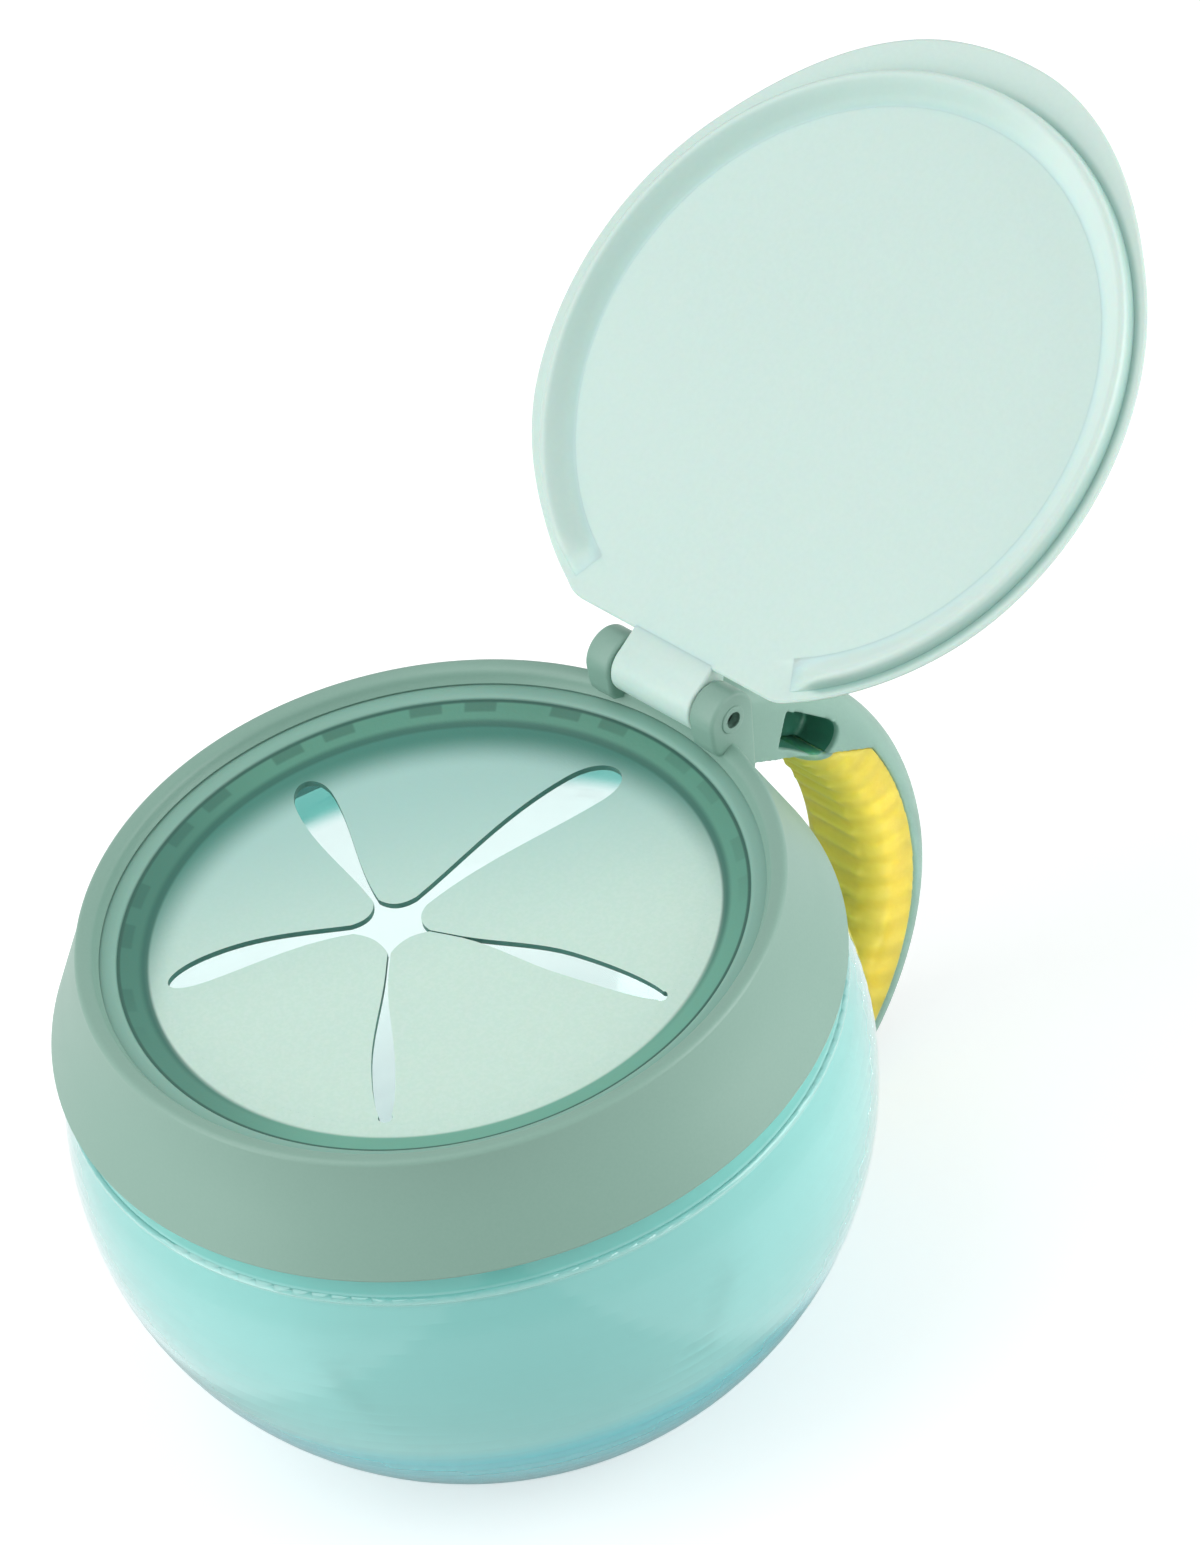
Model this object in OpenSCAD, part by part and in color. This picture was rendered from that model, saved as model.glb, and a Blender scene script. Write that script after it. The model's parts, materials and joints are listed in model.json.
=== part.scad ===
// Toddler snack container: a round bowl with a lift-off collar, a slotted soft insert,
// a hinged lid that stands open, and a C-shaped handle with a soft grip.
// The origin is the middle of the base. The hinge and the handle are at +Y.

/* [Bowl] */
// Largest diameter of the bowl
bowl_d = 102; // [98:0.5:108]
// Height of the widest circle above the base
bowl_mid_z = 42; // [40:0.5:44]
// Half the height that the oval of the bowl would have
bowl_rise = 48.7; // [47:0.1:54]
// Thickness of the bowl's wall
bowl_wall = 2.2; // [1.6:0.1:2.8]
// Thickness of the bowl's floor
bowl_floor = 4.5; // [3:0.5:8]
// Height of the bead above the widest circle
bead_above_mid = 13.5; // [10:0.5:15]
// Radius of the bead
bead_r = 0.6; // [0.4:0.1:1]

/* [Neck] */
// Outer diameter of the neck
neck_d = 85.6; // [82:0.2:86.4]
// Height of the neck above its shoulder
neck_h = 7.8; // [7:0.1:9]
// How far the bowl's shoulder stands above the collar's lower edge
shoulder_above_edge = 1.3; // [0.8:0.1:2]
// How far the bowl's lugs stand out
lug_out = 1.4; // [1:0.1:1.4]
// Height of each lug
lug_h = 1.7; // [1.2:0.1:2]
// Arc of each lug in degrees
lug_arc = 40; // [20:5:60]
// Number of lugs
lug_count = 4; // [3:1:6]

/* [Collar] */
// Height of the collar's lower edge above the bowl's widest circle
collar_above_mid = 17.7; // [17:0.1:20]
// How far the lip's outside stands out from the neck
lip_over_neck = 1.3; // [1.2:0.1:2.2]
// Radius of the rounded lip
lip_r = 0.8; // [0.5:0.1:1]
// Thickness of the collar's wall
collar_wall = 2; // [1.6:0.1:2.2]
// Height of the lip above the seat of the soft insert
lip_above_seat = 3.5; // [3:0.1:5]
// Thickness of the seat ring
seat_t = 1.3; // [1:0.1:1.6]
// Number of interlock windows in the seat ring
window_count = 24; // [16:1:30]
// Arc of each window in degrees
window_arc = 7; // [4:0.5:9]
// Width of each window across the ring
window_w = 2.2; // [1.5:0.1:2.6]

/* [Soft insert] */
// Width of the sealing ledge round the edge
ledge_w = 3; // [2:0.1:3.6]
// Width of the slope between the ledge and the flat disc
slope_w = 3.5; // [3:0.1:4.5]
// Thickness of the disc
disc_t = 0.8; // [0.6:0.1:1.2]
// Depth of the disc's top below the ledge
disc_drop = 1.9; // [1.5:0.1:2.5]
// Height of the ledge above the seat ring
ledge_h = 1.1; // [0.8:0.1:1.4]
// Distance from the slots' ends to the edge of the disc
slot_margin = 2.5; // [1.5:0.1:4]
// Radius of the round end of each slot
slot_end_r = 0.9; // [0.8:0.05:1.2]
// Distance of the hub, where the slots meet, left of the middle
hub_left = 4.3; // [0:0.1:6]
// Distance of the hub in front of the middle
hub_front = 3; // [0:0.1:6]
// Radius of the corners of the flaps
flap_corner_r = 1.4; // [0.8:0.1:2]

/* [Lid] */
// How far the lid's rim is set in from the lip's outside
lid_set_in = 0.6; // [0.2:0.1:1.2]
// Thickness of the lid's plate
lid_t = 1.7; // [1.2:0.1:2.2]
// Thickness of the thin rim round the plate
rim_t = 0.8; // [0.5:0.1:1.1]
// How far that thin rim stands out from the plate
rim_step = 1.4; // [0.8:0.1:2]
// Radius of the rim's corners at the hinge
lid_corner_r = 5; // [3:0.5:7]
// Rise of the lid's dome
lid_dome = 2.2; // [1:0.1:3]
// Width of the ring under the lid
ring_w = 3; // [2:0.1:3.4]
// Depth of that ring below the rim
ring_h = 2; // [1.4:0.1:2.2]
// How far the thumb tab stands out
tab_out = 2.6; // [1.5:0.1:5]
// Half the arc of the thumb tab in degrees
tab_half_arc = 42; // [25:1:50]
// How far the lid stands open, in degrees
lid_open = 148; // [100:1:150]

/* [Hinge] */
// How far the hinge axis is set in from the lip's outside
hinge_in = 1.2; // [0.5:0.1:1.5]
// Height of the hinge axis above the lip
hinge_above_lip = 3.5; // [3.4:0.1:4.5]
// Radius of the ears around the axis
ear_r = 3.7; // [3.2:0.1:3.8]
// Thickness of each ear
ear_t = 3.8; // [2.5:0.1:5]
// Width of the lid's knuckle
knuckle_w = 13.8; // [10:0.2:15]
// Radius of the lid's knuckle
knuckle_r = 3.5; // [2.8:0.1:3.6]
// Diameter of the hinge pin
pin_d = 2.2; // [1.6:0.1:3]
// Depth of each pin end below the ear's face
pin_recess = 0.8; // [0.2:0.1:1.5]

/* [Handle] */
// Room for fingers between the bowl and the grip
finger_room = 14.4; // [11:0.1:20]
// Depth of the handle's outermost point below the bowl's widest circle
handle_below_mid = 9; // [6:0.5:10]
// Outer radius of the handle's upper bend
upper_bend_r = 48; // [46:0.5:50]
// Outer radius of the handle's lower bend
lower_bend_r = 38; // [34:0.5:39]
// Sweep of the lower bend in degrees
lower_sweep = 50; // [30:1:52]
// Width of the handle
handle_w = 15; // [12:0.5:18]
// Thickness of the handle
handle_t = 10.5; // [9:0.5:12]
// Radius of the long edges of the handle's back and of its grip
handle_edge_r = 4; // [2:0.5:4.4]
// Radius of the arm's lower edges
arm_edge_r = 0.8; // [0.5:0.1:4]
// Height of the arm's foot above the collar's lower edge
arm_foot_above_edge = 3.9; // [3:0.1:5]
// Thickness of the hard back behind the grip
back_t = 3.9; // [3:0.1:5]
// Width of the hard core inside the grip
core_w = 6; // [4:0.5:8]
// Thickness of the soft layer over the core
soft_t = 2.4; // [1.5:0.1:3.5]
// Depth of each side pocket in the arm
pocket_depth = 6; // [3:0.5:6.5]
// Width of each side pocket
pocket_w = 5; // [4:0.2:6]
// Distance between the finger ridges
ridge_pitch = 3.6; // [3:0.1:6]
// Height of the finger ridges
ridge_h = 0.5; // [0.3:0.1:0.8]

/* [Clearances] */
// Gap between the seated parts
seat_gap = 0.3; // [0.2:0.05:0.4]
// Gap between the bowl's shoulder and the collar's lower edge
edge_gap = 0.3; // [0.2:0.05:0.5]
// Radial gap between the ring under the lid and the collar's lip
ring_gap = 0.8; // [0.3:0.1:1.2]
// Gap between fixed mouldings
joint_gap = 0.05; // [0.02:0.01:0.1]
// Gap between each flap's root and the soft insert
root_gap = 0.1; // [0.05:0.05:0.2]
// Gap between the knuckle and each ear
knuckle_gap = 0.2; // [0.1:0.05:0.3]
// Radial gap between the pin and the knuckle's bore
pin_run_gap = 0.08; // [0.03:0.01:0.1]
// Radial gap between the pin and the ears' bores
pin_hold_gap = 0.02; // [0.01:0.01:0.05]
// Radial gap between the bowl's lugs and the collar's lugs
lug_gap = 0.3; // [0.2:0.05:0.5]
// Radial gap between the bowl's lugs and the collar's wall
lug_side_gap = 0.15; // [0.1:0.05:0.3]

/* [Hidden] */
$fn = 96;
cut = 1;
curve_steps = 28;

aqua = "#8FD3CE";
sage = "#86B3A0";
pale_mint = "#C3E0D6";
mint = "#CBE9DF";
yellow = "#D8CB4A";
steel = "#9AA39F";

// Small fixed distances
lug_below_top = 1;
lip_flat = 0.2;
foot_out = 0.3;
foot_to_seat = 1.3;
seat_to_window = 0.4;
block_below_seat = 2;
ring_set_in = 0.2;
web_set_in = 1;
web_lift = 0.1;
web_drop = 0.6;
ring_back_w = 1.8;
arm_bite = 1.3;
arm_foot_w = 5.1;
arm_foot_rise = 2.7;

// Heights, from the base up
collar_z = bowl_mid_z + collar_above_mid;
shoulder_z = collar_z + shoulder_above_edge;
neck_top_z = shoulder_z + neck_h;
seat_bottom_z = neck_top_z + seat_gap;
seat_z = seat_bottom_z + seat_t;
ledge_z = seat_z + joint_gap + ledge_h;
disc_z = ledge_z - disc_drop;
lip_z = seat_z + lip_above_seat;
rim_z = lip_z + seat_gap;
hinge_z = lip_z + hinge_above_lip;
bowl_lug_z = neck_top_z - lug_below_top - lug_h;
collar_lug_z = bowl_lug_z - seat_gap - lug_h;

// Radii round the middle
neck_r = neck_d / 2;
lip_out_r = neck_r + lip_over_neck;
collar_edge_r = max(oval_r(collar_z), neck_r + lug_out + lug_gap) + edge_gap + collar_wall;
groove_r = lip_out_r - 2 * lip_r - lip_flat;
ledge_r = groove_r - ledge_w;
disc_r = ledge_r - slope_w;
slope_foot_r = disc_r + foot_out;
seat_in_r = slope_foot_r + foot_to_seat;
window_in_r = seat_in_r + seat_to_window;
collar_lug_r = neck_r + lug_out + lug_gap;
slot_reach = disc_r - slot_margin;
hinge_y = lip_out_r - hinge_in;
lid_r = lip_out_r - lid_set_in;
ring_r = groove_r - ring_gap;
lid_chord_y = hinge_y - ear_r - seat_gap;
slot_w = knuckle_w + 2 * knuckle_gap;
hinge_w = slot_w + 2 * ear_t;
hub_r = 3.4;

// The bends of the handle, which meet at its outermost point; the upper one ends in the hinge block
handle_reach = bowl_d / 2 + finger_room + handle_t;
handle_mid_z = bowl_mid_z - handle_below_mid;
upper_y = handle_reach - upper_bend_r;
lower_y = handle_reach - lower_bend_r;
upper_sweep = acos((hinge_y + ear_r - arm_bite - upper_y) / (upper_bend_r - handle_t / 2));
end_overlap = 0.5;

// Where the soft grip ends at the top: a point on the slanting line, its slope, and how many degrees
// of the upper bend it leaves free next to the hinge block
grip_top_in = 10.5;
grip_top_up = 20.15;
grip_slope = 32;
grip_short = 15;

// The core's sweep above the outermost point, and how far it stops short of the lower end
core_sweep = 28;
core_short = 6;

// The side pockets, in degrees along the upper bend, the rim left inside them, and the flat end
// that cuts them off next to the hinge block
pocket_from = 39;
pocket_to = 56;
pocket_rim = 1.4;
pocket_end_at = 51;
pocket_end_slope = 63;

// The finger ridges are the tops of rods that are mostly inside the grip
rod_r = 1.5;
ridge_sweep = 34;
ridge_short = 4;

function oval_r(z, grow = 0) =
    (bowl_d / 2 + grow) * sqrt(1 - pow((z - bowl_mid_z) / (bowl_rise + grow), 2));
function cone_r(z) =
    collar_edge_r + (lip_out_r - collar_edge_r) * (z - collar_z) / (lip_z - lip_r - collar_z);
// Height of the sloping underside of the soft insert, between the disc and the ledge
function seat_slope_z(r) =
    mix(disc_z - disc_t, seat_z + joint_gap, (r - slope_foot_r) / (ledge_r - slope_foot_r));
function mix(a, b, t) = a + (b - a) * t;
function smooth(t) = t * t * (3 - 2 * t);

// Puts a drawing made in Y and Z at X = 0 and gives it a width along X
module across(width) {
    rotate([90, 0, 90]) translate([0, 0, -width / 2]) linear_extrude(width) children();
}

// A rod or bore along X on the hinge axis
module on_hinge(r, width) {
    translate([-width / 2, hinge_y, hinge_z]) rotate([0, 90, 0]) cylinder(r = r, h = width);
}

// Sweeps a section round an axis along X, from angle a0 to a1 above the horizontal
module bend(y, z, a0, a1) {
    translate([0, y, z]) rotate([90, 0, 90]) rotate([0, 0, a0])
        rotate_extrude(angle = a1 - a0) children();
}

// Repeats a section round the middle, each time over an arc
module ring_parts(count, arc) {
    for (i = [0:count - 1])
        rotate([0, 0, i * 360 / count - arc / 2]) rotate_extrude(angle = arc) children();
}

module bowl() {
    base_r = oval_r(0);
    turn_z = shoulder_z - 2 * bowl_wall;
    outer = [for (i = [0:curve_steps]) let (z = mix(0, shoulder_z, i / curve_steps)) [oval_r(z), z]];
    inner = [
        for (i = [0:curve_steps])
            let (z = mix(turn_z, bowl_floor, i / curve_steps)) [oval_r(z, -bowl_wall), z]
    ];
    bead_z = bowl_mid_z + bead_above_mid;
    color(aqua) union() {
        rotate_extrude() polygon(concat(
            [[0, 0]],
            outer,
            [
                [neck_r, shoulder_z], [neck_r, neck_top_z],
                [neck_r - bowl_wall, neck_top_z], [neck_r - bowl_wall, shoulder_z]
            ],
            inner,
            [[0, bowl_floor]]
        ));
        rotate_extrude() translate([oval_r(bead_z) - bead_r / 3, bead_z]) circle(bead_r, $fn = 24);
        ring_parts(lug_count, lug_arc) translate([neck_r - bowl_wall / 2, bowl_lug_z])
            square([bowl_wall / 2 + lug_out, lug_h]);
    }
}

module collar_ring() {
    rotate_extrude() {
        polygon([
            [collar_edge_r, collar_z], [lip_out_r, lip_z - lip_r],
            [lip_out_r - lip_r, lip_z - lip_r / 2], [groove_r, lip_z - lip_r],
            [groove_r, seat_z], [ledge_r, seat_z], [seat_in_r, seat_slope_z(seat_in_r) - joint_gap],
            [seat_in_r, seat_bottom_z],
            [cone_r(seat_bottom_z) - collar_wall, seat_bottom_z],
            [collar_edge_r - collar_wall, collar_z]
        ]);
        translate([lip_out_r - lip_r, lip_z - lip_r]) circle(lip_r, $fn = 32);
        translate([groove_r + lip_r, lip_z - lip_r]) circle(lip_r, $fn = 32);
        translate([groove_r + lip_r, lip_z - 2 * lip_r])
            square([lip_out_r - groove_r - 2 * lip_r, 2 * lip_r]);
    }
}

// The hinge block behind the lip, with an ear at each end
module hinge_block() {
    block_z = seat_bottom_z - block_below_seat;
    difference() {
        across(hinge_w) union() {
            translate([hinge_y, hinge_z]) circle(ear_r);
            translate([hinge_y - ear_r, block_z]) square([2 * ear_r, hinge_z - block_z]);
        }
        cylinder(r = cone_r(seat_bottom_z) - collar_wall / 2, h = seat_bottom_z);
        cylinder(r = groove_r, h = lip_z - lip_r);
        translate([-slot_w / 2, 0, hinge_z - knuckle_r - seat_gap]) cube([slot_w, bowl_d, 3 * ear_r]);
    }
}

// The room in the collar for the bowl's shoulder and for the lugs on its neck
module bowl_room() {
    translate([0, 0, collar_z - cut])
        cylinder(r = collar_edge_r - collar_wall, h = shoulder_above_edge + edge_gap + cut);
    translate([0, 0, collar_z - cut])
        cylinder(r = neck_r + lug_out + lug_side_gap, h = bowl_lug_z + lug_h + seat_gap - collar_z + cut);
}

module collar() {
    color(sage) difference() {
        union() {
            difference() {
                collar_ring();
                bowl_room();
            }
            hinge_block();
            ring_parts(lug_count, lug_arc) polygon([
                [collar_lug_r, collar_lug_z],
                [cone_r(collar_lug_z) - collar_wall / 2, collar_lug_z],
                [cone_r(bowl_lug_z) - collar_wall / 2, bowl_lug_z - seat_gap],
                [collar_lug_r, bowl_lug_z - seat_gap]
            ]);
        }
        on_hinge(pin_d / 2 + pin_hold_gap, bowl_d);
        ring_parts(window_count, window_arc) translate([window_in_r, seat_bottom_z - cut])
            square([window_w, seat_t + 2 * cut]);
    }
}

// Slots in the soft insert, counter-clockwise from the one at the right: the angle that each ends
// at, its width at the neck and at the belly, how far along the slot the neck ends and the belly
// lies, and how far the slot bows to its left
SLOTS = [
    [14, 0.2, 3.8, 0.22, 0.62, 1.3],
    [92, 2.1, 6.8, 0.12, 0.84, 1.2],
    [166, 0.7, 5.1, 0.15, 0.82, 0.5],
    [234, 1.6, 4.6, 0.15, 0.76, -1.8],
    [306, 0.4, 2.9, 0.25, 0.72, -0.7]
];
hub = [-hub_left, -hub_front];
root_grow = 1 + root_gap / (slot_reach * cos(180 / len(SLOTS)));
function slot_tip(i) = slot_reach * [cos(SLOTS[i][0]), sin(SLOTS[i][0])];
function turned_left(v) = [-v[1], v[0]];
function unit(v) = v / norm(v);

// Half the width of slot i at the share t of its length
function slot_half(i, t) =
    let (neck = SLOTS[i][1], belly = SLOTS[i][2], t0 = SLOTS[i][3], t1 = SLOTS[i][4])
    t < t0 ? neck / 2
    : t < t1 ? mix(neck, belly, smooth((t - t0) / (t1 - t0))) / 2
    : belly / 2 * pow(1 - pow((t - t1) / (1 - t1), 2.6), 0.5);

// A point beside the middle line of slot i
function slot_point(i, t, side) =
    let (along = slot_tip(i) - hub, left = unit(turned_left(along)))
    hub + along * t + left * (SLOTS[i][5] * sin(180 * t) + side * slot_half(i, t));

module slot(i) {
    translate(slot_tip(i) * (1 - slot_end_r / slot_reach)) circle(slot_end_r, $fn = 24);
    polygon(concat(
        [for (k = [0:curve_steps]) slot_point(i, k / curve_steps, 1)],
        [for (k = [curve_steps - 1:-1:0]) slot_point(i, k / curve_steps, -1)]
    ));
}

// The flap between slots i and i + 1, out to its root line between the two slot ends
module flap_plan(i) {
    j = (i + 1) % len(SLOTS);
    far = 1.6;
    intersection() {
        polygon([hub, slot_tip(i), slot_tip(j)]);
        offset(r = flap_corner_r, $fn = 32) offset(delta = -flap_corner_r) difference() {
            polygon([
                hub,
                hub + far * (slot_tip(i) - hub),
                far * (slot_tip(i) + slot_tip(j)),
                hub + far * (slot_tip(j) - hub)
            ]);
            slot(i);
            slot(j);
            translate(hub) circle(hub_r);
        }
    }
}

module flap(i) {
    color(pale_mint) translate([0, 0, disc_z - disc_t]) linear_extrude(disc_t) flap_plan(i);
}

module soft_insert() {
    ledge_out_r = groove_r - joint_gap;
    color(pale_mint) difference() {
        union() {
            rotate_extrude() polygon([
                [0, disc_z - disc_t], [slope_foot_r, disc_z - disc_t],
                [ledge_r, seat_z + joint_gap], [ledge_out_r, seat_z + joint_gap],
                [ledge_out_r, ledge_z], [ledge_r, ledge_z],
                [disc_r, disc_z], [0, disc_z]
            ]);
            ring_parts(window_count, window_arc - 0.4)
                translate([window_in_r + joint_gap, seat_bottom_z + joint_gap])
                    square([window_w - 2 * joint_gap, seat_t]);
        }
        translate([0, 0, disc_z - disc_t - cut]) linear_extrude(disc_t + 2 * cut) union() {
            polygon([for (i = [0:len(SLOTS) - 1]) slot_tip(i) * root_grow]);
            for (i = [0:len(SLOTS) - 1]) slot(i);
        }
    }
}

// The outline of the lid's rim, with the thumb tab at the front and the straight edge at the hinge
function tab_share(a) =
    let (off = abs(a + 90), fade = 10)
    off < tab_half_arc - fade ? 1
    : off > tab_half_arc + fade ? 0
    : 1 - smooth((off - tab_half_arc + fade) / (2 * fade));

// Rounds the corners of a drawing that point outwards
module round_corners(r) {
    offset(r = r, $fn = 48) offset(delta = -r) children();
}

module rim_plan() {
    round_corners(lid_corner_r) difference() {
        polygon([
            for (a = [-180:3:177]) (lid_r + tab_out * tab_share(a)) * [cos(a), sin(a)]
        ]);
        translate([-2 * lid_r, lid_chord_y]) square(4 * lid_r);
    }
}

// A disc with a straight edge towards the hinge
module ring_plan(r, chord_y) {
    round_corners(lid_corner_r) difference() {
        circle(r);
        translate([-2 * r, chord_y]) square(4 * r);
    }
}

module lid_closed() {
    dome_r = (pow(lid_chord_y, 2) + pow(lid_dome, 2)) / (2 * lid_dome);
    top_z = rim_z + lid_t;
    ring_chord_y = lid_chord_y - ring_set_in;
    difference() {
        union() {
            translate([0, 0, rim_z]) linear_extrude(rim_t) rim_plan();
            translate([0, 0, rim_z]) linear_extrude(lid_t) offset(delta = -rim_step) rim_plan();
            intersection() {
                translate([0, 0, top_z + lid_dome - dome_r]) sphere(dome_r, $fn = 200);
                translate([0, 0, top_z - joint_gap])
                    cylinder(r = lid_chord_y - rim_step, h = 2 * lid_dome);
            }
            difference() {
                translate([0, 0, rim_z - ring_h]) linear_extrude(ring_h + joint_gap)
                    ring_plan(ring_r, ring_chord_y);
                translate([0, 0, rim_z - ring_h - cut]) linear_extrude(ring_h + cut)
                    ring_plan(ring_r - ring_w, ring_chord_y - ring_back_w);
            }
            on_hinge(knuckle_r, knuckle_w);
            across(knuckle_w) polygon([
                [lid_chord_y - web_set_in, rim_z], [hinge_y, rim_z + web_lift],
                [hinge_y, hinge_z + knuckle_r - web_drop], [lid_chord_y - web_set_in, top_z]
            ]);
        }
        on_hinge(pin_d / 2 + pin_run_gap, bowl_d);
    }
}

module lid() {
    color(mint) translate([0, hinge_y, hinge_z]) rotate([-lid_open, 0, 0])
        translate([0, -hinge_y, -hinge_z]) lid_closed();
}

module hinge_pin() {
    color(steel) on_hinge(pin_d / 2, hinge_w - 2 * pin_recess);
}

// A rectangle with round corners, from (x0, y0) to (x1, y1): radius r0 at x0 and r1 at x1
function round_rect(x0, y0, x1, y1, r0, r1, steps = 8) = [
    for (c = [
        [x1 - r1, y1 - r1, r1, 0], [x0 + r0, y1 - r0, r0, 90],
        [x0 + r0, y0 + r0, r0, 180], [x1 - r1, y0 + r1, r1, 270]
    ])
        for (k = [0:steps]) let (a = c[3] + 90 * k / steps) [c[0] + c[2] * cos(a), c[1] + c[2] * sin(a)]
];

// The section of the handle, drawn outwards from the axis of a bend with this outer radius
module handle_section(outer_r, inner_edge_r) {
    polygon(round_rect(
        outer_r - handle_t, -handle_w / 2, outer_r, handle_w / 2, inner_edge_r, handle_edge_r
    ));
}

// The C of the handle, with its round end, stopped short of the hinge block by some degrees
module handle_body(inner_edge_r, short) {
    bend(upper_y, handle_mid_z, 0, upper_sweep - short) handle_section(upper_bend_r, inner_edge_r);
    bend(lower_y, handle_mid_z, -lower_sweep - end_overlap, 0)
        handle_section(lower_bend_r, inner_edge_r);
    mid_r = lower_bend_r - handle_t / 2;
    translate([0, lower_y + mid_r * cos(lower_sweep), handle_mid_z - mid_r * sin(lower_sweep)])
        rotate([90, 0, 90]) rotate([0, 0, 180 - lower_sweep]) rotate_extrude(angle = 180)
            intersection() {
                translate([-lower_bend_r + handle_t / 2, 0])
                    handle_section(lower_bend_r, handle_edge_r);
                translate([0, -handle_w]) square([handle_t, 2 * handle_w]);
            }
}

// The part of the C that the soft grip takes, less a margin: inside the hard back, and below a
// slanting line across the top arm
module grip_zone(margin) {
    depth = back_t + margin;
    grip_top = [handle_reach - grip_top_in, handle_mid_z + grip_top_up];
    across(2 * handle_w) intersection() {
        union() {
            intersection() {
                translate([upper_y, handle_mid_z]) circle(upper_bend_r - depth);
                translate([upper_y, handle_mid_z]) square(2 * upper_bend_r);
            }
            intersection() {
                translate([lower_y, handle_mid_z]) circle(lower_bend_r - depth);
                translate([lower_y, handle_mid_z - 2 * lower_bend_r])
                    square([2 * lower_bend_r, 2 * lower_bend_r]);
            }
        }
        translate(grip_top) rotate(-grip_slope) translate([-handle_reach, -handle_reach * 2 - margin])
            square([2 * handle_reach, 2 * handle_reach]);
    }
}

// The hard core inside the grip
module grip_core(margin) {
    inner = handle_t - soft_t + margin;
    section = [inner - back_t + cut, core_w + 2 * margin];
    half_w = section[1] / 2;
    bend(upper_y, handle_mid_z, 0, core_sweep)
        translate([upper_bend_r - inner, -half_w]) square(section);
    bend(lower_y, handle_mid_z, core_short - lower_sweep, 0)
        translate([lower_bend_r - inner, -half_w]) square(section);
}

// The thick foot of the arm, where it comes out of the collar
module arm_foot() {
    foot_z = collar_z + arm_foot_above_edge;
    foot_y = cone_r(foot_z);
    across(handle_w) polygon([
        [foot_y - arm_bite, foot_z], [foot_y, foot_z],
        [foot_y + arm_foot_w, foot_z - arm_foot_rise],
        [foot_y + arm_foot_w, foot_z], [foot_y + arm_bite, hinge_z - knuckle_r - ear_r],
        [foot_y - arm_bite, hinge_z - knuckle_r - ear_r]
    ]);
}

module handle_frame() {
    color(sage) difference() {
        union() {
            difference() {
                union() {
                    handle_body(arm_edge_r, 0);
                    arm_foot();
                }
                grip_zone(0);
            }
            grip_core(0);
        }
        translate([0, 0, collar_z])
            cylinder(r1 = collar_edge_r + joint_gap, r2 = cone_r(lip_z) + joint_gap, h = lip_z - collar_z);
        translate([-handle_w, 0, shoulder_z]) cube([2 * handle_w, hinge_y + ear_r + joint_gap, bowl_d]);
        for (side = [0, 1]) mirror([side, 0, 0]) side_pocket();
    }
}

module side_pocket() {
    pocket_r = upper_bend_r - handle_t + pocket_rim + pocket_w / 2;
    floor_x = handle_w / 2 - pocket_depth;
    difference() {
        bend(upper_y, handle_mid_z, pocket_from, pocket_to)
            translate([pocket_r - pocket_w / 2, floor_x]) square([pocket_w, handle_w]);
        translate([0, upper_y, handle_mid_z]) rotate([pocket_end_at, 0, 0])
            translate([0, pocket_r - pocket_w / 2, 0]) rotate([pocket_end_slope - pocket_end_at, 0, 0])
                translate([0, -pocket_w, 0]) cube([handle_w, 3 * pocket_w, 3 * pocket_w]);
    }
    translate([floor_x, upper_y, handle_mid_z]) rotate([pocket_from, 0, 0])
        translate([0, pocket_r, 0]) rotate([0, 90, 0]) cylinder(r = pocket_w / 2, h = handle_w);
}

module handle_grip() {
    color(yellow) difference() {
        intersection() {
            union() {
                handle_body(handle_edge_r, grip_short);
                finger_ridges();
            }
            grip_zone(joint_gap);
        }
        grip_core(joint_gap);
    }
}

// Low ridges across the inside of the grip
module finger_ridges() {
    ridge_w = handle_w - 2 * handle_edge_r + 2 * ridge_h;
    for (half = [
        [upper_y, upper_bend_r - handle_t, 1, 0, ridge_sweep],
        [lower_y, lower_bend_r - handle_t, -1, 1, lower_sweep - ridge_short]
    ])
        let (step = ridge_pitch / half[1] * 180 / PI)
            for (a = [half[3] * step:step:half[4]])
                translate([-ridge_w / 2, half[0], handle_mid_z]) rotate([half[2] * a, 0, 0])
                    translate([0, half[1] + rod_r - ridge_h, 0]) rotate([0, 90, 0])
                        cylinder(r = rod_r, h = ridge_w, $fn = 32);
}

bowl();
collar();
soft_insert();
flap(0);  // flap_1
flap(1);  // flap_2
flap(2);  // flap_3
flap(3);  // flap_4
flap(4);  // flap_5
lid();
hinge_pin();
handle_frame();
handle_grip();
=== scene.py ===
import math

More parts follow.
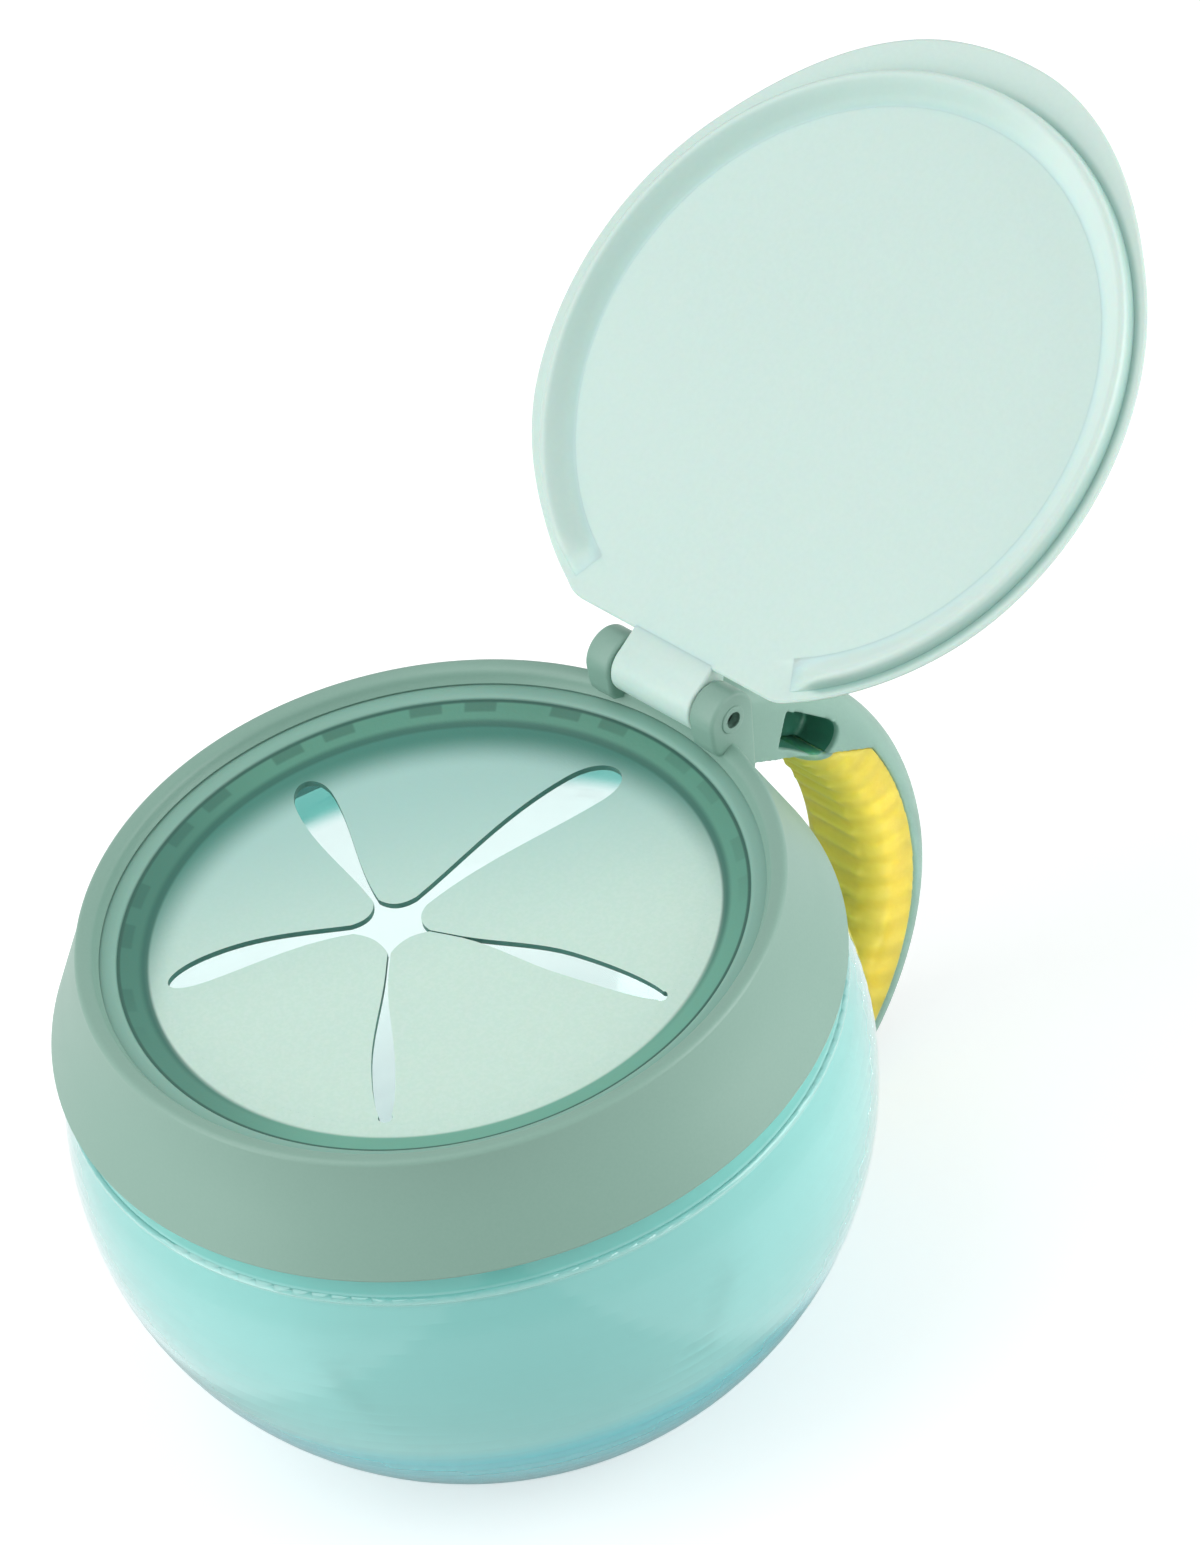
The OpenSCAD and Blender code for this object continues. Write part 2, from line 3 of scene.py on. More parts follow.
import bpy
from mathutils import Matrix, Vector
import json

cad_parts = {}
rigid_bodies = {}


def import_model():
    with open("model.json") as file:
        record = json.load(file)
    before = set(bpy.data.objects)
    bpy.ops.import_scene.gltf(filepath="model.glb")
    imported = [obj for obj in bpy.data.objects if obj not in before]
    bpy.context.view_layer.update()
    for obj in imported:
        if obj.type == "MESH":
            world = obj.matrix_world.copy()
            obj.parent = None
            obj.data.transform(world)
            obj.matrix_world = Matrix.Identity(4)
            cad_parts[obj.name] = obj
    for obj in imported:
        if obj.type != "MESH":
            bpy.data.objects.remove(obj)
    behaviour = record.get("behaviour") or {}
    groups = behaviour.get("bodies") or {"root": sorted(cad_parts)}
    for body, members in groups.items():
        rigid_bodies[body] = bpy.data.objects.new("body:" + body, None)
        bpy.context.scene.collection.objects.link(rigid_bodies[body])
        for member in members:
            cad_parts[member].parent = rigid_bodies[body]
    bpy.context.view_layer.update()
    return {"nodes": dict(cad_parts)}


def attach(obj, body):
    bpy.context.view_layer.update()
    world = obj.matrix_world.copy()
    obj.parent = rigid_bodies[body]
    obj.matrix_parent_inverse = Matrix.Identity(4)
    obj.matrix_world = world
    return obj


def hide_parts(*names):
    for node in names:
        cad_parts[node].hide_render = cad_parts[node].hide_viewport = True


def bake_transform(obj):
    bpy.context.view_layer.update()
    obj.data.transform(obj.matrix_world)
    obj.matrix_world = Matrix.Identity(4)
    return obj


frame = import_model()
nodes = frame["nodes"]
mm = 0.001

# Bowl. One clear aqua plastic moulding with a thick base, a bead under its shoulder and a neck
# with four lugs that the collar locks on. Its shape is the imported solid; the plastic is tinted
# all through, glossy on both sides and a little cloudy.


def start_material(name, rough):
    made = bpy.data.materials.new(name)
    made.use_nodes = True
    tree = made.node_tree
    shader = tree.nodes["Principled BSDF"]
    shader.inputs["Roughness"].default_value = rough
    return made, tree, shader


def node(tree, kind, inputs=(), **settings):
    made = tree.nodes.new(kind)
    for name, value in settings.items():
        setattr(made, name, value)
    for place, value in inputs:
        if isinstance(value, bpy.types.NodeSocket):
            tree.links.new(value, made.inputs[place])
        else:
            made.inputs[place].default_value = value
    return made


def sums(tree, how, *values):
    return node(tree, "ShaderNodeMath", list(enumerate(values)), operation=how).outputs[0]


def ramp_between(tree, value, low, high):
    """A smooth ramp of value, from 0 at low to 1 at high."""
    limits = [("Value", value), ("From Min", low), ("From Max", high)]
    return node(tree, "ShaderNodeMapRange", limits, interpolation_type="SMOOTHSTEP").outputs[0]


def ramp_mm(tree, value, low, high):
    """The same ramp with its ends in millimetres."""
    return ramp_between(tree, value, low * mm, high * mm)


def product(tree, first, *others):
    for other in others:
        first = sums(tree, "MULTIPLY", first, other)
    return first


def blend_colours(tree, share, first, second):
    mixed = node(tree, "ShaderNodeMix", [("Factor", share)], data_type="RGBA")
    for place, colour in ((6, first), (7, second)):
        if isinstance(colour, bpy.types.NodeSocket):
            tree.links.new(colour, mixed.inputs[place])
        else:
            mixed.inputs[place].default_value = (*colour, 1)
    return mixed.outputs[2]


def place_of(tree):
    return node(tree, "ShaderNodeTexCoord").outputs["Object"]


def vectors(tree, how, *values):
    return node(tree, "ShaderNodeVectorMath", list(enumerate(values)), operation=how).outputs


def length_of(tree, vector):
    return vectors(tree, "LENGTH", vector)["Value"]


def axes_of(tree, vector):
    return node(tree, "ShaderNodeSeparateXYZ", [(0, vector)]).outputs


def noise(tree, scale, detail=2.0):
    inputs = [("Vector", place_of(tree)), ("Scale", scale), ("Detail", detail)]
    return node(tree, "ShaderNodeTexNoise", inputs).outputs["Fac"]


def bump(tree, shader, height, depth, strength):
    inputs = [("Height", height), ("Distance", depth), ("Strength", strength)]
    tree.links.new(node(tree, "ShaderNodeBump", inputs).outputs[0], shader.inputs["Normal"])


def dress(piece, material):
    piece.data.materials.clear()
    piece.data.materials.append(material)


# Heights in millimetres: the bowl's middle, and where each paint begins and is full
bowl_middle_z = 42.0
base_fade = (29.0, 23.5)
collar_shade_and_neck_fade = (56.2, 56.6)
bead_highlight_from, bead_highlight_to = (54.7, 55.1), (56.0, 55.5)
neck_fade = (46.5, 50.6)

clear_aqua, tree, shader = start_material("clear aqua plastic", 0.1)
z = axes_of(tree, place_of(tree))[2]
# 1 on the outside of the wall, where its face looks away from the bowl's middle, 0 on its inside
geometry = node(tree, "ShaderNodeNewGeometry").outputs
from_middle = vectors(tree, "SUBTRACT", place_of(tree), (0, 0, bowl_middle_z * mm))[0]
away = vectors(tree, "DOT_PRODUCT", from_middle, geometry["True Normal"])["Value"]
faces_front = sums(tree, "SUBTRACT", 1.0, geometry["Backfacing"])
outside = product(tree, sums(tree, "GREATER_THAN", away, 0.0), faces_front)
milky = blend_colours(tree, noise(tree, 24.0), (0.272, 0.685, 0.645), (0.302, 0.725, 0.68))
# Deeper where the base is thick, and under the collar where the neck doubles the wall
milky = blend_colours(tree, ramp_mm(tree, z, *base_fade), milky, (0.06, 0.6, 0.66))
# Under the collar the deeper tone is also painted shade of the collar
milky = blend_colours(tree, ramp_mm(tree, z, *collar_shade_and_neck_fade), milky, (0.18, 0.62, 0.56))
# Painted highlight: paler along the bead
bead_highlight = product(tree, ramp_mm(tree, z, *bead_highlight_from), ramp_mm(tree, z, *bead_highlight_to), 0.6)
milky = blend_colours(tree, bead_highlight, milky, (0.5, 0.82, 0.77))
in_neck = ramp_mm(tree, z, *neck_fade)
clear = blend_colours(tree, in_neck, (0.97, 0.99, 0.985), (0.2, 0.66, 0.6))
tree.links.new(blend_colours(tree, outside, clear, milky), shader.inputs["Base Color"])
# Clearest on the inside, a little less in the neck, and cloudy on the outside
inside_clarity, outside_clarity, neck_loss = 0.95, 0.23, 0.2
clarity = sums(tree, "MULTIPLY_ADD", outside, outside_clarity - inside_clarity, inside_clarity)
inside_neck = product(tree, in_neck, sums(tree, "SUBTRACT", 1.0, outside))
clarity = sums(tree, "SUBTRACT", clarity, product(tree, inside_neck, neck_loss))
tree.links.new(clarity, shader.inputs["Transmission Weight"])
shader.inputs["IOR"].default_value = 1.45
shader.inputs["Coat Weight"].default_value = 0.9
shader.inputs["Coat Roughness"].default_value = 0.05
tint = node(tree, "ShaderNodeVolumeAbsorption", [("Color", (0.2, 0.88, 0.85, 1)), ("Density", 75.0)])
tree.links.new(tint.outputs[0], tree.nodes["Material Output"].inputs["Volume"])
dress(nodes["bowl"], clear_aqua)

# Collar. A matt sage moulding: a cone that drops over the bowl's neck, a lip in two steps, a seat
# ring for the soft insert, four lugs inside, and behind the lip two ears for the lid's pin.
edge_z = 59.7
edge_r = 49.81
wall = 2.0
seat_z = 70.4
lip_r = 44.1
cone_top_z = 73.1
groove_r = 42.3
hinge_y = 42.9
hinge_z = 77.4
ear_inner, ear_outer = 7.1, 11.2
bore_r, boss_r = 1.12, 1.9
boss_rise, boss_sunk = 0.2, 0.3


def nothing_selected():
    if bpy.context.object and bpy.context.object.mode != "OBJECT":
        bpy.ops.object.mode_set(mode="OBJECT")
    bpy.ops.object.select_all(action="DESELECT")


def draw_line(name, points, closed=False):
    """Draws a line through points, in millimetres, and leaves it selected in edit mode."""
    nothing_selected()
    bpy.ops.mesh.primitive_plane_add(size=1 * mm, location=[v * mm for v in points[0]])
    piece = bpy.context.object
    piece.name = piece.data.name = name
    bpy.ops.object.transform_apply(location=True)
    bpy.ops.object.mode_set(mode="EDIT")
    bpy.ops.mesh.select_mode(type="VERT")
    bpy.ops.mesh.select_all(action="SELECT")
    bpy.ops.mesh.merge(type="CENTER")
    for here, there in zip(points, points[1:]):
        step = [(b - a) * mm for a, b in zip(here, there)]
        bpy.ops.mesh.extrude_vertices_move(TRANSFORM_OT_translate={"value": step})
    bpy.ops.mesh.select_all(action="SELECT")
    if closed:
        bpy.ops.mesh.edge_face_add()
    return piece


def tidy_faces():
    bpy.ops.mesh.select_all(action="SELECT")
    bpy.ops.mesh.remove_doubles(threshold=0.002 * mm)
    bpy.ops.mesh.normals_make_consistent(inside=False)
    bpy.ops.object.mode_set(mode="OBJECT")


def turned_ring(name, profile, steps, start=0.0, sweep=360.0):
    """Spins a closed profile of (radius, height) round the middle, from the angle start."""
    at = math.radians(start)
    whole = sweep == 360.0
    ring = [(r * math.cos(at), r * math.sin(at), z) for r, z in profile]
    piece = draw_line(name, ring + ring[:1] if whole else ring, closed=not whole)
    bpy.ops.mesh.spin(
        steps=steps, angle=-math.radians(sweep), center=(0, 0, 0), axis=(0, 0, 1), use_auto_merge=whole)
    tidy_faces()
    return piece


def across(name, outline, x0, x1):
    """Extrudes a closed outline of (y, z) along x."""
    piece = draw_line(name, [(x0, y, z) for y, z in outline], closed=True)
    bpy.ops.mesh.extrude_region_move(TRANSFORM_OT_translate={"value": ((x1 - x0) * mm, 0, 0)})
    tidy_faces()
    return piece


def apply_bevel(piece, width, segments=3, angle=40):
    rounding = piece.modifiers.new("rounding", "BEVEL")
    rounding.width = width * mm
    rounding.segments = segments
    rounding.limit_method = "ANGLE"
    rounding.angle_limit = math.radians(angle)
    bpy.context.view_layer.objects.active = piece
    bpy.ops.object.modifier_apply(modifier=rounding.name)


def cut_out(piece, tool):
    cut = piece.modifiers.new("cut", "BOOLEAN")
    cut.object = tool
    cut.solver = "EXACT"
    bpy.context.view_layer.objects.active = piece
    bpy.ops.object.modifier_apply(modifier=cut.name)
    bpy.data.objects.remove(tool)


def join_as(name, pieces):
    nothing_selected()
    for piece in pieces:
        piece.select_set(True)
    bpy.context.view_layer.objects.active = pieces[0]
    if len(pieces) > 1:
        bpy.ops.object.join()
    joined = bpy.context.object
    joined.name = joined.data.name = name
    return joined


def smooth_shading(piece, angle=35):
    nothing_selected()
    piece.select_set(True)
    bpy.context.view_layer.objects.active = piece
    bpy.ops.object.shade_smooth_by_angle(angle=math.radians(angle))


def arc(cy, cz, r, first, last, steps):
    return [
        (cy + r * math.cos(math.radians(first + (last - first) * k / steps)),
         cz + r * math.sin(math.radians(first + (last - first) * k / steps)))
        for k in range(steps + 1)]


def cone_r(z):
    return edge_r + (lip_r - edge_r) * (z - edge_z) / (cone_top_z - edge_z)


skirt_line = [(48.3, edge_z), (49.45, edge_z), (49.72, 59.78), (edge_r - 0.04, 60.0), (cone_r(66), 66)]
lip_line = [(lip_r, 72.85)] + arc(lip_r - 0.75, 73.15, 0.75, 15, 95, 8)
groove_line = [
    (42.85, 73.85), (42.4, 73.72), (42.05, 73.5), (41.84, 73.22), (41.74, 72.9), (41.5, 72.3),
    (41.28, 71.95), (41.34, 71.78), (groove_r, 71.66), (groove_r, 70.6), (groove_r - 0.1, seat_z)]
inner_line = [
    (39.3, seat_z), (37.4, 69.5), (37.4, 69.1), (cone_r(69.1) - wall, 69.1), (44.35, 68.1),
    (cone_r(61.3) - wall, 61.3), (edge_r - wall, 61.3), (edge_r - wall, 59.85)]
collar_ring = turned_ring("collar ring", skirt_line + lip_line + groove_line + inner_line, 192)
notch_z = 73.6
notch_line = [(-ear_inner, 30), (ear_inner, 30), (ear_inner, 50), (-ear_inner, 50)]
notch = draw_line("notch", [(x, y, notch_z) for x, y in notch_line], closed=True)
bpy.ops.mesh.extrude_region_move(TRANSFORM_OT_translate={"value": (0, 0, 5 * mm)})
tidy_faces()
cut_out(collar_ring, notch)

lug_line = [(44.5, 64.1), (46.6, 64.1), (46.0, 65.8), (44.5, 65.8)]
lug_sweep = 40
lugs = [turned_ring("lug", lug_line, 10, number * 90 - lug_sweep / 2, lug_sweep) for number in range(4)]

ear_line = (
    arc(hinge_y, hinge_z, 3.7, -8, 180, 26)
    + [(39.2, 75.2), (39.3, 74.2), (39.9, 73.2), (41.2, 72.5), (42.8, 72.1), (43.2, 66.9), (45.4, 67.4)])
ears = []
for side in (-1, 1):
    ear = across("ear", ear_line, side * ear_inner, side * ear_outer)
    apply_bevel(ear, 0.55, 4)
    # The raised ring round the pin's hole
    ring_line = arc(hinge_y, hinge_z, boss_r, 0, 345, 23)
    boss = across("boss", ring_line, side * (ear_outer - boss_sunk), side * (ear_outer + boss_rise))
    apply_bevel(boss, 0.18, 3)
    for piece in (ear, boss):
        hole = arc(hinge_y, hinge_z, bore_r, 0, 345, 23)
        cut_out(piece, across("bore", hole, side * 5, side * 13))
        ears.append(piece)
sill = across("sill", [(42.6, 73.5), (46.4, 73.5), (45.4, 67.4), (43.2, 66.9)], -7.2, 7.2)
collar = join_as("collar_shell", [collar_ring, *lugs, *ears, sill])
smooth_shading(collar)


def moulded_sage(name, shift=0.0):
    """Matt sage plastic, with every tone moved by the same shift."""
    made, tree, shader = start_material(name, 0.42)
    fine = noise(tree, 2600.0)
    bump(tree, shader, fine, 0.02 * mm, 0.35)
    tones = ((0.215, 0.375, 0.305), (0.235, 0.4, 0.328), (0.245, 0.41, 0.34))
    dark, light, fleck = ([part + shift for part in tone] for tone in tones)
    tone = blend_colours(tree, noise(tree, 30.0), dark, light)
    tree.links.new(blend_colours(tree, fine, tone, fleck), shader.inputs["Base Color"])
    return made


sage = moulded_sage("matt sage plastic")
dress(collar, sage)
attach(collar, "collar")
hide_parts("collar")

# Soft insert ring. Translucent silicone that rests on the seat: a flat sealing ledge, a slope with
# pairs of darker windows, and the outer edge of the membrane.
disc_z = 69.65
disc_t = 0.8
tip_r = 33.6
slope_line = [(tip_r, disc_z), (35.2, disc_z), (35.7, disc_z + 0.06), (36.2, disc_z + 0.26), (38.95, 70.95)]
ledge_line = [
    (39.2, 70.98), (39.34, 71.2), (39.55, 71.38), (39.95, 71.5), (40.6, 71.58), (41.9, 71.6),
    (42.15, 71.54), (42.24, 71.4), (42.24, 70.46)]
under_line = [(39.3, 70.46), (36.1, disc_z - disc_t), (tip_r, disc_z - disc_t)]
insert_ring = turned_ring("insert_ring", slope_line + ledge_line + under_line, 192)
smooth_shading(insert_ring)


def level_reach(tree, x, y, by_x, by_y):
    """How far the place (x, y) lies in the level direction (by_x, by_y)."""
    return sums(tree, "ADD", sums(tree, "MULTIPLY", x, by_x), sums(tree, "MULTIPLY", y, by_y))


silicone, tree, shader = start_material("translucent silicone", 0.5)
x, y, _ = axes_of(tree, place_of(tree))
flat_here = node(tree, "ShaderNodeCombineXYZ", [(0, x), (1, y)]).outputs[0]
out = length_of(tree, flat_here)
fine = noise(tree, 1900.0, 3.0)
front = level_reach(tree, x, y, 0.8, -0.6)
leftward = level_reach(tree, x, y, 0.6, 0.8)
# The membrane, with painted shade: darker towards the back, and deep teal there, where the shaded neck shows
# through
membrane = blend_colours(tree, noise(tree, 22.0), (0.55, 0.77, 0.68), (0.62, 0.8, 0.7))
speckle = product(tree, ramp_between(tree, fine, 0.35, 0.7), 0.25)
membrane = blend_colours(tree, speckle, membrane, (0.72, 0.87, 0.8))
shifted = vectors(tree, "SUBTRACT", flat_here, (4 * mm, -3 * mm, 0))[0]
painted_back_shade = product(
    tree, ramp_mm(tree, length_of(tree, shifted), 33.0, 39.4), ramp_mm(tree, front, 20, -10))
membrane = blend_colours(tree, ramp_mm(tree, front, 10, -28), membrane, (0.4, 0.65, 0.6))
membrane = blend_colours(tree, painted_back_shade, membrane, (0.06, 0.235, 0.185))
# The sloping band: green, with painted light making it paler towards the front, and a pair of darker windows
# 13 times round it
pair_count, pair_at, pair_step = 13, 159.9, 27.7
band = blend_colours(tree, ramp_mm(tree, front, -10, 36), (0.1, 0.3, 0.22), (0.15, 0.41, 0.31))
round_by = sums(tree, "ARCTAN2", y, x)
pairs_past = 6.5 - pair_at / 360 * pair_count
turns = sums(tree, "MULTIPLY_ADD", round_by, pair_count / (2 * math.pi), pairs_past)
from_pair = sums(tree, "MULTIPLY_ADD", sums(tree, "FRACT", turns), pair_step, -pair_step / 2)
from_pair = sums(tree, "ABSOLUTE", from_pair)
fainter_right = sums(tree, "MULTIPLY_ADD", ramp_mm(tree, leftward, 36, 20), 0.6, 0.4)
window = product(
    tree, ramp_between(tree, from_pair, 1.9, 2.5), ramp_between(tree, from_pair, 8.7, 8.1),
    ramp_mm(tree, out, 37.4, 37.8), ramp_mm(tree, front, 14, -4), fainter_right, 0.75)
band = blend_colours(tree, window, band, (0.05, 0.17, 0.125))
# Painted shade: the band is darker at the left
painted_left_shade = product(tree, ramp_mm(tree, leftward, -14, -34), 0.55)
band = blend_colours(tree, painted_left_shade, band, (0.03, 0.14, 0.11))
# Painted shade in the crease at the foot of the slope, deepest at the back
foot_crease_shade = product(
    tree, ramp_mm(tree, out, 35.3, 35.8), ramp_mm(tree, out, 36.9, 36.1), ramp_mm(tree, front, 34, 6), 0.85)
band = blend_colours(tree, ramp_mm(tree, out, 36.2, 35.5), band, membrane)
band = blend_colours(tree, foot_crease_shade, band, (0.025, 0.13, 0.1))
# The flat ledge, behind a painted shadow line where it steps down
band = blend_colours(tree, ramp_mm(tree, out, 38.7, 38.95), band, (0.03, 0.12, 0.09))
band = blend_colours(tree, ramp_mm(tree, out, 39.15, 39.4), band, (0.24, 0.45, 0.375))
# Painted shade: the cut edges of the slots are darker
normal = node(tree, "ShaderNodeNewGeometry").outputs["True Normal"]
level = sums(tree, "ABSOLUTE", axes_of(tree, normal)[2])
slot_edge_shade = product(tree, ramp_between(tree, level, 0.6, 0.3), ramp_mm(tree, out, 34.5, 34.0))
band = blend_colours(tree, slot_edge_shade, band, (0.06, 0.2, 0.16))
tree.links.new(band, shader.inputs["Base Color"])
bump(tree, shader, fine, 0.05 * mm, 0.6)
shader.inputs["Subsurface Weight"].default_value = 0.15
shader.inputs["Subsurface Scale"].default_value = 1.0 * mm
dress(insert_ring, silicone)
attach(insert_ring, "collar")
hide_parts("soft_insert")

# Flaps. Five slots meet off the middle and cut the membrane into five flaps, which bend down along
# the line between two slot ends when a hand goes in. Each slot widens from a thin cut to a belly.
# A row for each slot: its direction in degrees, the widths of its thin cut and its belly, the shares
# of its length where the cut ends and the belly is widest, and how far it bows sideways
slot_rows = [
    (14, 0.2, 3.8, 0.22, 0.62, 1.3), (92, 2.1, 6.8, 0.12, 0.84, 1.2), (166, 0.7, 5.1, 0.15, 0.82, 0.5),
    (234, 1.6, 4.6, 0.15, 0.76, -1.8), (306, 0.4, 2.9, 0.25, 0.72, -0.7)]
hub = Vector((-4.3, -3.0))
slot_reach = 33.3
slot_end_r = 0.9
# How far from its root a flap is divided
fold_lines = (-1.6, -1.2, -0.8, -0.4, 0.0, 0.4, 0.8, 1.2, 1.6, 4, 8, 13, 19)


def slot_end(number):
    angle = math.radians(slot_rows[number % 5][0])
    return Vector((math.cos(angle), math.sin(angle))) * slot_reach


def slot_edge(number, side):
    """The points of one edge of a slot, from its end to the middle."""
    _, narrow, belly, narrow_to, belly_at, bow = slot_rows[number % 5]
    along = slot_end(number) - hub
    left = Vector((-along.y, along.x)).normalized()
    first = 5.0 / along.length
    points = []
    for k in range(31):
        t = first + (1 - first) * (1 - (k / 30) ** 2)
        if t < narrow_to:
            half = narrow / 2
        elif t < belly_at:
            s = (t - narrow_to) / (belly_at - narrow_to)
            half = (narrow + (belly - narrow) * s * s * (3 - 2 * s)) / 2
        else:
            half = belly / 2 * (1 - ((t - belly_at) / (1 - belly_at)) ** 2.6) ** 0.5
        from_end = (1 - t) * along.length
        if from_end < slot_end_r:
            half = max(half, math.sqrt(slot_end_r ** 2 - (slot_end_r - from_end) ** 2))
        points.append(hub + along * t + left * (bow * math.sin(math.pi * t) + side * half))
    return points


for number in range(5):
    one, other = slot_edge(number, 1), slot_edge(number + 1, -1)
    middle = (one[-1] + other[-1]) / 2 - hub
    corner = hub + middle.normalized() * 2.6
    tip = [one[-1] * (1 - s) ** 2 + corner * 2 * s * (1 - s) + other[-1] * s * s for s in
           (0.1, 0.2, 0.3, 0.4, 0.5, 0.6, 0.7, 0.8, 0.9)]
    first, last = slot_rows[number][0], slot_rows[(number + 1) % 5][0]
    last += 360 * (last < first)
    rim = [Vector((math.cos(a), math.sin(a))) * tip_r for a in
           (math.radians(last + (first - last) * k / 36) for k in range(37))]
    outline = one + tip + other[::-1] + rim
    flap = draw_line(f"flap {number + 1}", [(p.x, p.y, disc_z) for p in outline], closed=True)
    chord = slot_end(number + 1) - slot_end(number)
    inward = Vector((-chord.y, chord.x, 0)).normalized()
    root = (slot_end(number) + slot_end(number + 1)).to_3d() / 2
    for back in fold_lines:
        bpy.ops.mesh.select_all(action="SELECT")
        bpy.ops.mesh.bisect(plane_co=(root + inward * back) * mm, plane_no=inward)
    bpy.ops.mesh.select_all(action="SELECT")
    bpy.ops.mesh.extrude_region_move(TRANSFORM_OT_translate={"value": (0, 0, -disc_t * mm)})
    tidy_faces()
    flap.name = flap.data.name = f"membrane_flap_{number + 1}"
    smooth_shading(flap)
    dress(flap, silicone)
    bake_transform(flap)
    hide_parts(f"flap_{number + 1}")

# Lid. A pale mint moulding: a thin rim with a broad thumb tab, a shallow domed plate, a round
# bead underneath that seals inside the lip, and a knuckle that turns on the pin. It stands open.
rim_z = 74.2
lid_r = 43.5
chord_y = 38.9
open_by = math.radians(-148)
# The thumb tab in degrees: its middle, half its full width and the fade beside it; and its reach in mm
tab_at, tab_half, tab_fade, tab_reach = -94, 8, 46, 2.7
# Near the hinge the outline is drawn in, from this many degrees off the front and over this many
drawn_from, drawn_over = 112, 30
drawn_left, drawn_right = 1.1, 0.4


def lid_outline(inset):
    """The rim's outline, set in by a distance, with its corners at the hinge rounded."""
    points = []
    for k in range(181):
        angle = -270 + 360 * k / 180
        off = max(0, abs(angle - tab_at) - tab_half) / tab_fade
        share = 0 if off > 1 else 1 - off * off * (3 - 2 * off)
        drawn_in = min(1, max(0, (abs(angle + 90) - drawn_from) / drawn_over))
        r = lid_r - 0.1 + 0.7 * math.cos(math.radians(angle + 168)) + tab_reach * share - inset
        r -= (drawn_left if angle < -90 else drawn_right) * drawn_in * drawn_in * (3 - 2 * drawn_in)
        points.append(Vector((r * math.cos(math.radians(angle)), r * math.sin(math.radians(angle)))))
    corner_r = 6.0
    cy = chord_y - inset - corner_r
    cx = math.sqrt((lid_r - 0.9 - inset - corner_r) ** 2 - cy ** 2)
    open_side = math.degrees(math.atan2(cy, cx))
    kept = [p for p in points if p.y < (cy + corner_r * math.sin(math.radians(open_side))) - 0.3]
    right = [Vector((cx + corner_r * math.cos(math.radians(a)), cy + corner_r * math.sin(math.radians(a))))
             for a in (open_side + (90 - open_side) * k / 10 for k in range(11))]
    left = [Vector((-p.x, p.y)) for p in reversed(right)]
    drawn = []
    for point in kept + right + left:
        if all((point - other).length > 0.3 for other in drawn[-1:] + drawn[:1]):
            drawn.append(point)
    return drawn


outline = lid_outline(0.25)
plate = draw_line("plate", [(p.x, p.y, rim_z) for p in outline], closed=True)
bpy.ops.mesh.extrude_region_move(TRANSFORM_OT_translate={"value": (0, 0, 0)})
# Each step of the plate from its rim up to the top of its dome, as inset and rise
plate_steps = (
    (-0.25, 0.2), (0.0, 0.25), (0.12, 0.2), (0.2, 0.13), (0.9, 0.02), (0.35, 0.55),
    (0.35, 0.2), (2.0, 0.2), (4.0, 0.62), (6.0, 0.62), (8.0, 0.48), (9.0, 0.2))
for inset, rise in plate_steps:
    bpy.ops.mesh.extrude_region_move(TRANSFORM_OT_translate={"value": (0, 0, rise * mm)})
    if inset:
        bpy.ops.transform.resize(
            value=(1 - inset / 42, 1 - inset / 42, 1), center_override=(0, 0, rim_z * mm))
tidy_faces()

bead_line = [
    (41.3, rim_z + 0.3), (41.28, 73.3), (41.2, 72.6), (41.05, 72.15), (40.8, 71.92), (40.5, 71.85),
    (40.2, 71.92), (39.75, 72.2), (39.1, 72.75), (38.4, 73.4), (37.6, 73.98), (36.9, rim_z),
    (36.9, rim_z + 0.3)]
bead_gap, bead_taper = 27, 7
bead = turned_ring("bead", bead_line, 170, 90 + bead_gap, 360 - 2 * bead_gap)
# The bead runs out into the plate at both ends
for point in bead.data.vertices:
    beside = abs(math.degrees(math.atan2(point.co.y, point.co.x)) - 90) - bead_gap
    full = min(1, max(0, beside / bead_taper))
    if point.co.z < rim_z * mm:
        point.co.z = rim_z * mm + (point.co.z - rim_z * mm) * full * full * (3 - 2 * full)
knuckle_foot = [(34, rim_z + 0.5), (37.9, rim_z + 0.45), (38.5, rim_z - 0.01), (41.2, 74.05)]
knuckle_back = [(39.2, 77.8), (38.0, 76.7), (36.6, 76.1), (34, 75.6)]
knuckle_line = knuckle_foot + arc(hinge_y, hinge_z, 3.5, -100, 130, 26) + knuckle_back
knuckle_half = 6.9
knuckle = across("knuckle", knuckle_line, -knuckle_half, knuckle_half)
apply_bevel(knuckle, 0.4, 3)
lid = join_as("lid_moulding", [plate, bead, knuckle])
turn = (Matrix.Translation((0, hinge_y * mm, hinge_z * mm)) @ Matrix.Rotation(open_by, 4, "X")
        @ Matrix.Translation((0, -hinge_y * mm, -hinge_z * mm)))
lid.data.transform(turn)
smooth_shading(lid)

mint, tree, shader = start_material("pale mint plastic", 0.38)
fine = noise(tree, 1500.0)
bump(tree, shader, fine, 0.01 * mm, 0.3)
tone = blend_colours(tree, noise(tree, 20.0), (0.565, 0.745, 0.69), (0.61, 0.785, 0.73))
tone = blend_colours(tree, fine, tone, (0.63, 0.8, 0.745))
